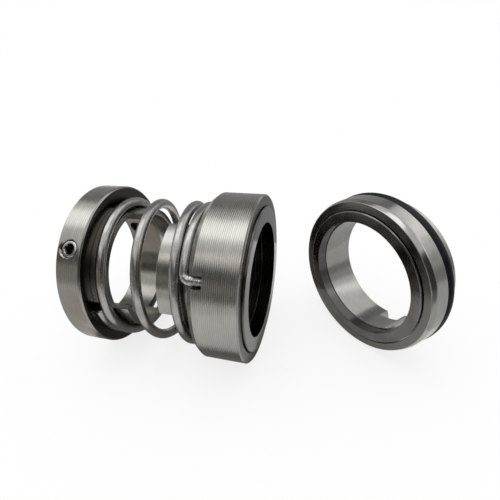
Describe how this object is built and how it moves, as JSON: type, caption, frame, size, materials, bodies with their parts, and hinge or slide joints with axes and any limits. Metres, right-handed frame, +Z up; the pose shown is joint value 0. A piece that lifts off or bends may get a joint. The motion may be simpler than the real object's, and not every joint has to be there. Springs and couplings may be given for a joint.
{
  "type": "component mechanical seal",
  "caption": "Pusher seal for a round shaft: set-screw drive collar with claws, a coil spring, a steel head with a carbide face ring, and a separate stationary seat with an O-ring.",
  "frame": {"origin": "middle of the shaft bore at the drive collar's back face", "axes": "+X along the rotary unit's axis, from the collar to the face ring; +Z up, square to the surface that both units stand on"},
  "size_m": [0.124, 0.0677, 0.06],
  "materials": {
    "steel": "turned, with fine lathe grooves",
    "screw_steel": "machined",
    "wire": "drawn and polished",
    "carbide": "ground and lapped",
    "rubber": "smooth, slightly shiny"
  },
  "bodies": {
    "seat": {"seat_holder": "steel", "seat_face_ring": "carbide", "seat_o_ring": "rubber"},
    "drive": {"drive_collar": "steel", "spring": "wire"},
    "head": {"push_sleeve": "steel", "shaft_o_ring": "rubber", "head_shell": "steel", "rotary_face_ring": "carbide"},
    "screw_1": {"set_screw_1": "screw_steel"},
    "screw_2": {"set_screw_2": "screw_steel"},
    "screw_3": {"set_screw_3": "screw_steel"}
  },
  "joints": [
    {"name": "rotor_spin", "type": "hinge", "parent": "seat", "child": "drive", "pos_m": [0, 0, 0], "axis": [1, 0, 0], "continuous": true},
    {"name": "head_slide", "type": "slide", "parent": "drive", "child": "head", "axis": [-1, 0, 0], "range_m": [0, 0.018], "stiffness_N_per_m": 6000, "deforming": ["spring"]},
    {"name": "screw_1_slide", "type": "slide", "parent": "drive", "child": "screw_1", "axis": [0, 0.7431, -0.6691], "range_m": [0, 0.0015]},
    {"name": "screw_2_slide", "type": "slide", "parent": "drive", "child": "screw_2", "axis": [0, 0.2079, 0.9781], "range_m": [0, 0.0015]},
    {"name": "screw_3_slide", "type": "slide", "parent": "drive", "child": "screw_3", "axis": [0, -0.9511, -0.309], "range_m": [0, 0.0015]}
  ]
}
